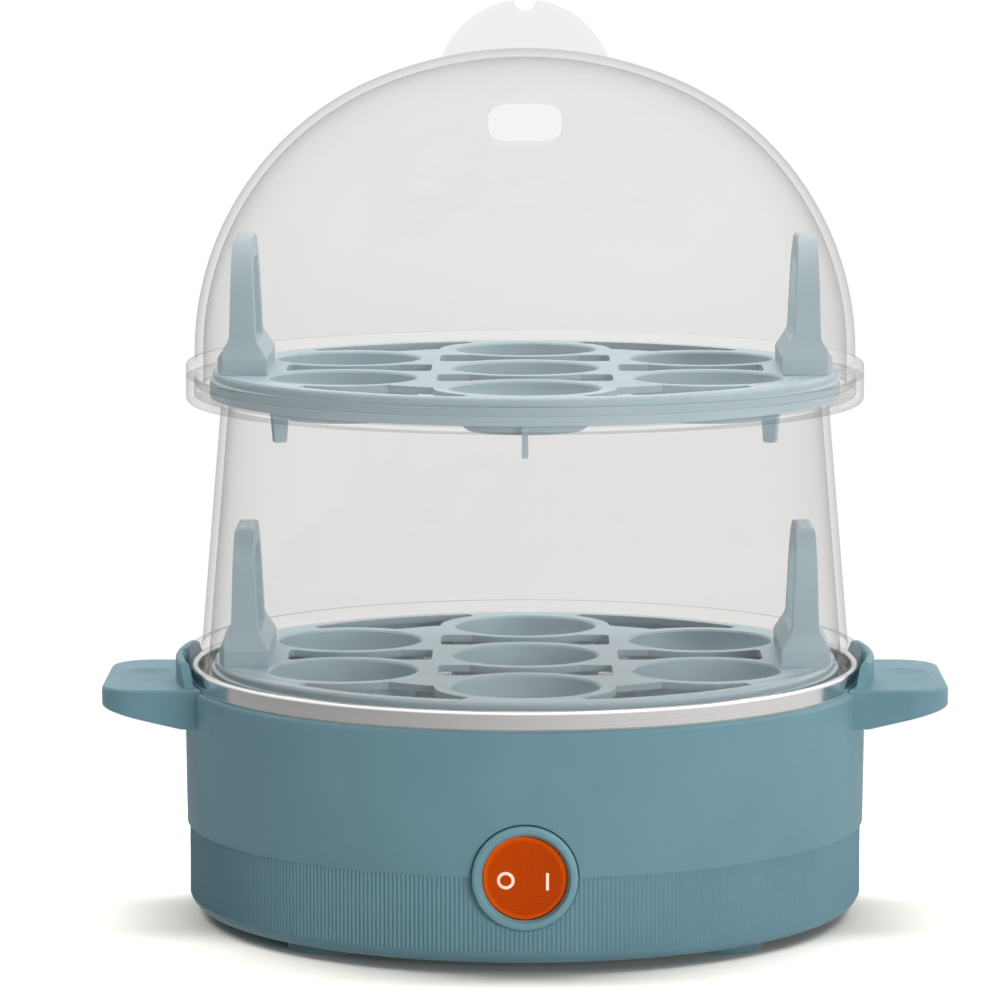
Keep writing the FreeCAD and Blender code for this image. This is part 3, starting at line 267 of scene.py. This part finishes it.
tealHousing = {"dark": paint(112, 152, 164), "light": paint(117, 157, 169), "rough": (0.46, 0.54),
               "clouds": 45, "grain": 2600, "depth": 0.00002, "shine": 0.35}
tealBezel = {"dark": paint(110, 160, 172), "light": paint(116, 166, 178), "rough": (0.20, 0.26),
             "clouds": 60, "grain": 3000, "depth": 0.00001, "coat": 0.4}
tealFoot = {"dark": paint(84, 120, 130), "light": paint(92, 128, 138), "rough": (0.55, 0.65),
            "clouds": 80, "grain": 2400, "depth": 0.00004}
paleTray = {"dark": paint(186, 206, 212), "light": paint(191, 211, 217), "rough": (0.34, 0.42),
            "clouds": 55, "grain": 2200, "depth": 0.00002, "glow": 0.15}
blackRubber = {"dark": paint(30, 31, 32), "light": paint(38, 39, 40), "rough": (0.6, 0.72),
               "clouds": 90, "grain": 1800, "depth": 0.00004}
blackLead = {"dark": paint(24, 24, 26), "light": paint(32, 32, 34), "rough": (0.4, 0.5),
             "clouds": 120, "grain": 1600, "depth": 0.00003}
whiteLead = {"dark": paint(214, 212, 206), "light": paint(224, 222, 216), "rough": (0.4, 0.5),
             "clouds": 120, "grain": 1600, "depth": 0.00003}
redLead = {"dark": paint(150, 30, 26), "light": paint(166, 38, 32), "rough": (0.4, 0.5),
           "clouds": 120, "grain": 1600, "depth": 0.00003}
greySilicone = {"dark": paint(176, 178, 176), "light": paint(188, 190, 188), "rough": (0.55, 0.65),
                "clouds": 90, "grain": 1500, "depth": 0.00003, "glow": 0.2}
whitePlastic = {"dark": paint(228, 224, 214), "light": paint(236, 232, 222), "rough": (0.35, 0.45),
                "clouds": 120, "grain": 2400, "depth": 0.00002}
brownPhenolic = {"dark": paint(58, 38, 26), "light": paint(74, 50, 34), "rough": (0.35, 0.5),
                 "clouds": 260, "grain": 2000, "depth": 0.00003}
glassSleeve = {"dark": paint(206, 200, 180), "light": paint(220, 215, 198), "rough": (0.7, 0.8),
               "clouds": 400, "grain": 3000, "depth": 0.00006}
brightSteel = {"dark": (0.70, 0.69, 0.68), "light": (0.80, 0.79, 0.78), "rough": (0.10, 0.18),
               "marks": 3200, "smudges": 180, "depth": 0.000004}
dullSpreader = {"dark": (0.52, 0.52, 0.53), "light": (0.64, 0.64, 0.65), "rough": (0.35, 0.5),
                "marks": 1500, "smudges": 180, "depth": 0.00002}
heaterSteel = {"dark": (0.30, 0.29, 0.28), "light": (0.42, 0.41, 0.40), "rough": (0.38, 0.5),
               "marks": 900, "smudges": 260, "depth": 0.00002}
zincSteel = {"dark": (0.58, 0.59, 0.60), "light": (0.70, 0.71, 0.72), "rough": (0.28, 0.4),
             "marks": 700, "smudges": 260, "depth": 0.00001}
plainBrass = {"dark": (0.62, 0.42, 0.16), "light": (0.74, 0.53, 0.24), "rough": (0.22, 0.34),
              "marks": 800, "smudges": 260, "depth": 0.00001}
clearWall = {"wallTint": (0.957, 0.955, 0.951), "rimTint": (0.87, 0.87, 0.87), "bend": 0.75,
             "collarTint": (0.985, 0.984, 0.982), "collar": (0.139, 0.006), "facing": 0.5, "steep": 5.0,
             "mirror": 0.04, "rimMirror": 0.35, "dark": (0.48, 0.48, 0.48), "light": (0.54, 0.54, 0.54),
             "rough": (0.02, 0.06), "flow": 26, "stretch": (1, 1, 0.25), "smudges": 55,
             "passed": (0.985, 0.985, 0.985), "finTint": (0.957, 0.955, 0.952),
             "finSide": 0.0034, "finHollow": 0.0016, "finFoot": (0.2200, 0.2204)}
lampGlass = {**clearWall, "wallTint": (0.96, 0.95, 0.92), "rimTint": (0.82, 0.80, 0.74), "flow": 300}
# The rim colour is painted light at the rocker's edge
orangeRocker = {"dark": paint(204, 70, 0), "light": paint(233, 88, 2), "rim": paint(255, 112, 24),
                "rough": (0.3, 0.4), "pivot": (0, 0, 0.0244), "edge": (0.0090, 0.0107), "dotShare": 0.3,
                "grid": 520, "depth": 0.00003, "glow": 0.15, "glowReach": (1.0, 0.25, 0.05),
                "glowDepth": 0.002, "smudges": 600, "shine": 0.08}
# The marks glow faintly: painted light on top of their pale colour
paleMark = {"dark": paint(255, 226, 206), "light": paint(255, 232, 214), "rough": (0.4, 0.5),
            "clouds": 300, "grain": 2400, "depth": 0.00001, "lit": 0.3}

finishes = {
    "housing_teal": mouldedPlastic("tealHousing", tealHousing),
    "bezel_teal": mouldedPlastic("tealBezel", tealBezel),
    "foot_teal": mouldedPlastic("tealFoot", tealFoot),
    "tray": mouldedPlastic("paleTray", paleTray),
    "gland": mouldedPlastic("blackRubber", blackRubber),
    "lead_black": mouldedPlastic("blackLead", blackLead),
    "lead_white": mouldedPlastic("whiteLead", whiteLead),
    "lead_red": mouldedPlastic("redLead", redLead),
    "silicone": mouldedPlastic("greySilicone", greySilicone),
    "white_plastic": mouldedPlastic("whitePlastic", whitePlastic),
    "phenolic": mouldedPlastic("brownPhenolic", brownPhenolic),
    "sleeve": mouldedPlastic("glassSleeve", glassSleeve),
    "steel": spunMetal("brightSteel", brightSteel),
    "spreader": spunMetal("dullSpreader", dullSpreader),
    "element_steel": pressedMetal("heaterSteel", heaterSteel),
    "zinc_steel": pressedMetal("zincSteel", zincSteel),
    "brass": pressedMetal("plainBrass", plainBrass),
    "clear": clearPlastic("clearWall", clearWall),
    "lamp_glass": clearPlastic("lampGlass", lampGlass),
    "rocker_orange": litPlastic("orangeRocker", orangeRocker),
}

for row in frame["record"]["subparts"]:
    mesh = frame["nodes"][row["node"]].data
    mesh.materials.clear()
    mesh.materials.append(finishes[row["material_slot"]])
print("finishes on:", len(finishes))


# New pieces

mergeReach = 1e-6
quarterTurn = math.radians(90)


def newPiece(name, bm, place, slot, body, finish=None):
    # Closes up a finished mesh and hangs it on its body
    bmesh.ops.remove_doubles(bm, verts=bm.verts, dist=mergeReach)
    bmesh.ops.transform(bm, matrix=place, verts=bm.verts)
    bmesh.ops.recalc_face_normals(bm, faces=bm.faces)
    mesh = bpy.data.meshes.new(name)
    bm.to_mesh(mesh)
    bm.free()
    mesh.materials.append(finish or finishes[slot])
    piece = bpy.data.objects.new(name, mesh)
    bpy.context.collection.objects.link(piece)
    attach(piece, body)
    return piece


def addLoop(bm, points):
    verts = [bm.verts.new(point) for point in points]
    return [bm.edges.new((a, b)) for a, b in zip(verts, verts[1:] + verts[:1])]


hinges = {joint["name"]: joint for joint in frame["joints"]}
rockerRest = math.radians(-7)
# Switch coordinates: X across, Y up, Z outwards from the rocker's pivot
rockerPlace = (Matrix.Translation(hinges["rocker_tilt"]["pos_m"]) @ Matrix.Rotation(rockerRest, 4, "Z")
               @ Matrix.Rotation(quarterTurn, 4, "X"))

markPaint = mouldedPlastic("paleMark", paleMark)
# Rocker face, hollowed about an upright axis
faceLook = {"ball": 0.0107, "edge": 0.004, "hollow": 0.0011}
markLook = {"off": -0.0044, "on": 0.006, "drop": 0.0007, "radius": 0.0022, "line": 0.0008,
            "depth": 0.00025, "fill": 0.00018, "gap": 0.00003, "steps": 64, "bevelSteps": 2}


def markFloor(x):
    # Bottom of a mark's groove, which follows the hollow of the face
    half = math.sqrt(faceLook["ball"] ** 2 - faceLook["edge"] ** 2)
    curve = (half ** 2 + faceLook["hollow"] ** 2) / (2 * faceLook["hollow"])
    face = faceLook["edge"] - faceLook["hollow"]
    return face + curve - math.sqrt(curve ** 2 - x ** 2) - markLook["depth"]


def ringMark(look):
    bm = bmesh.new()
    outer, inner = look["radius"] - look["gap"], look["radius"] - look["line"] + look["gap"]
    low = markFloor(look["off"])
    high = low + look["fill"]
    middle = Vector((look["off"], -look["drop"], 0))
    corners = [(outer, low), (outer, high), (inner, high), (inner, low)]
    loop = addLoop(bm, [middle + Vector((x, 0, z)) for x, z in corners])
    bmesh.ops.spin(bm, geom=bm.verts[:] + loop, cent=middle, axis=(0, 0, 1), angle=math.tau,
                   steps=look["steps"], use_merge=True)
    return newPiece("mark_off", bm, rockerPlace, "white_plastic", "rocker", markPaint)


def barMark(look):
    bm = bmesh.new()
    bmesh.ops.create_cube(bm, size=1)
    size = (look["line"] - 2 * look["gap"], 2 * (look["radius"] - look["gap"]), look["fill"])
    bmesh.ops.scale(bm, vec=size, verts=bm.verts)
    middle = (look["on"], -look["drop"], markFloor(look["on"]) + look["fill"] / 2)
    bmesh.ops.translate(bm, vec=middle, verts=bm.verts)
    bmesh.ops.bevel(bm, geom=bm.edges[:], offset=look["gap"], affect="EDGES",
                    segments=look["bevelSteps"], profile=0.5, material=-1)
    return newPiece("mark_on", bm, rockerPlace, "white_plastic", "rocker", markPaint)


springLook = {"low": -0.0024, "high": 0.0004, "outer": 0.00155, "wire": 0.0005,
              "turns": 4, "steps": 28, "sides": 10}


def coilSpring(look):
    bm = bmesh.new()
    wire = look["wire"] / 2
    middle = look["outer"] - wire
    rise = (look["high"] - look["low"] - look["wire"]) / (look["turns"] * look["steps"])
    start = Matrix.Translation((middle, 0, look["low"] + wire)) @ Matrix.Rotation(quarterTurn, 4, "X")
    ring = bmesh.ops.create_circle(bm, radius=wire, segments=look["sides"], matrix=start)["verts"]
    edges = list({edge for vert in ring for edge in vert.link_edges})
    bmesh.ops.spin(bm, geom=ring + edges, cent=(0, 0, 0), axis=(0, 0, 1), dvec=(0, 0, rise),
                   angle=math.tau * look["turns"], steps=look["turns"] * look["steps"])
    bmesh.ops.holes_fill(bm, edges=[edge for edge in bm.edges if edge.is_boundary], sides=look["sides"])
    return newPiece("spring_coil", bm, rockerPlace, "zinc_steel", "rocker")


ringMark(markLook)
barMark(markLook)
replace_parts(coilSpring(springLook), "switch_spring")
print("switch dressed")


# Floor, light and camera

stageLook = {"floorSide": 40.0, "floorCells": 8, "shadowEnd": (0.13, 0.30),
             "straightFloor": (0.87, 0.84, 0.79, 1), "bounceFloor": (0.34, 0.34, 0.34, 1),
             "roomUp": (0.3, 0.45), "roomBack": (0.2, 1.8), "roomRight": (0.75, 1.35),
             "mirrorSide": 0.5, "mirrorFloor": (0.38, 0.88), "mirrorRoom": (0.55, 1.0),
             "mirrorUp": (0.9, 2.2), "mirrorTop": 0.6, "clearBounces": 32}


def paleFloor(look):
    # Carries the shadow near the object, runs out into white, and is darker in mirrors towards the left
    bm = bmesh.new()
    cells = look["floorCells"]
    bmesh.ops.create_grid(bm, x_segments=cells, y_segments=cells, size=look["floorSide"] / 2)
    mesh = bpy.data.meshes.new("floor")
    bm.to_mesh(mesh)
    bm.free()
    floor = bpy.data.objects.new("floor", mesh)
    bpy.context.collection.objects.link(floor)
    material, tree, _ = startMaterial("paleFloor")
    path = addNode(tree, "ShaderNodeLightPath")
    place = ownPlace(tree)
    away = addNode(tree, "ShaderNodeVectorMath", {"operation": "LENGTH"}, {0: place}).outputs["Value"]
    across = addNode(tree, "ShaderNodeSeparateXYZ", inputs={"Vector": place}).outputs["X"]
    straight = addNode(tree, "ShaderNodeBsdfDiffuse", inputs={"Color": look["straightFloor"]})
    white = addNode(tree, "ShaderNodeEmission", inputs={"Strength": 1.0})
    seen = mixShader(tree, ranged(tree, away, *look["shadowEnd"], 0, 1, "SMOOTHSTEP"), straight, white)
    side = look["mirrorSide"]
    level = ranged(tree, across, -side, side, *look["mirrorFloor"])
    mirrored = addNode(tree, "ShaderNodeEmission", inputs={"Strength": level})
    bounced = addNode(tree, "ShaderNodeBsdfDiffuse", inputs={"Color": look["bounceFloor"]})
    unseen = mixShader(tree, path.outputs["Is Glossy Ray"], bounced, mirrored)
    # Seen through from below
    below = addNode(tree, "ShaderNodeNewGeometry").outputs["Backfacing"]
    seen = mixShader(tree, below, seen, addNode(tree, "ShaderNodeBsdfTransparent"))
    useMix(tree, mixShader(tree, path.outputs["Is Camera Ray"], unseen, seen))
    mesh.materials.append(material)
    return floor


def whiteRoom(look):
    # White where it is seen. Its light comes most from above and behind,
    # and mirrors show it darker on the left
    world = bpy.data.worlds.new("whiteRoom")
    world.use_nodes = True
    tree = world.node_tree
    path = addNode(tree, "ShaderNodeLightPath")
    way = addNode(tree, "ShaderNodeTexCoord").outputs["Generated"]
    way = addNode(tree, "ShaderNodeSeparateXYZ", inputs={"Vector": way})
    lit = times(tree, ranged(tree, way.outputs["Y"], -1, 1, *look["roomBack"]),
                ranged(tree, way.outputs["Z"], 0, 1, *look["roomUp"]))
    lit = times(tree, lit, ranged(tree, way.outputs["X"], -1, 1, *look["roomRight"]))
    mirrored = times(tree, ranged(tree, way.outputs["X"], -1, 1, *look["mirrorRoom"]),
                     ranged(tree, way.outputs["Z"], 0, look["mirrorTop"], *look["mirrorUp"]))
    level = ranged(tree, path.outputs["Is Glossy Ray"], 0, 1, lit, mirrored)
    level = ranged(tree, path.outputs["Is Camera Ray"], 0, 1, level, 1.0)
    tree.nodes["Background"].inputs["Color"].default_value = (1, 1, 1, 1)
    tree.links.new(level, tree.nodes["Background"].inputs["Strength"])
    bpy.context.scene.world = world


def softLamp(look, floor):
    # Hidden from mirrors. A lamp for the floor alone deepens the shadow there
    lamp = bpy.data.lights.new(look["name"], "AREA")
    lamp.shape = "RECTANGLE"
    lamp.size, lamp.size_y = look["size"]
    lamp.energy = look["watts"]
    obj = bpy.data.objects.new(look["name"], lamp)
    obj.location = look["place"]
    aim = Vector(look["aim"]) - Vector(look["place"])
    obj.rotation_euler = aim.to_track_quat("-Z", "Y").to_euler()
    obj.visible_glossy = False
    bpy.context.collection.objects.link(obj)
    if look.get("floorOnly"):
        lit = bpy.data.collections.new(look["name"])
        lit.objects.link(floor)
        obj.light_linking.receiver_collection = lit


lamps = [
    {"name": "keyRight", "place": (1.0, -1.73, 0.2), "aim": (0, 0, 0.1),
     "size": (0.8, 0.8), "watts": 23.0},
    {"name": "topStrip", "place": (0.0, 0.33, 1.6), "aim": (0, 0, 0.1),
     "size": (2.6, 0.5), "watts": 17.5},
    {"name": "floorStrip", "place": (0.0, 0.42, 1.6), "aim": (0, 0, 0),
     "size": (3.6, 0.5), "watts": 64.0, "floorOnly": True},
]

viewLook = {"place": (0, -1.3829, 0.2735), "tip": 0.119236, "lens": 191.8, "sensor": 36.0,
            "shiftX": -0.025, "far": 50}


def photoCamera(look):
    lens = bpy.data.cameras.new("camera")
    lens.lens = look["lens"]
    lens.sensor_width = look["sensor"]
    lens.shift_x = look["shiftX"]
    lens.clip_end = look["far"]
    camera = bpy.data.objects.new("camera", lens)
    camera.location = look["place"]
    camera.rotation_euler = (quarterTurn - look["tip"], 0, 0)
    bpy.context.collection.objects.link(camera)
    bpy.context.scene.camera = camera


floor = paleFloor(stageLook)
whiteRoom(stageLook)
for lampLook in lamps:
    softLamp(lampLook, floor)
photoCamera(viewLook)
bpy.context.scene.view_settings.view_transform = "Standard"
# Two tiers with doubled walls stand behind each other
bpy.context.scene.cycles.transparent_max_bounces = stageLook["clearBounces"]
print("stage set")
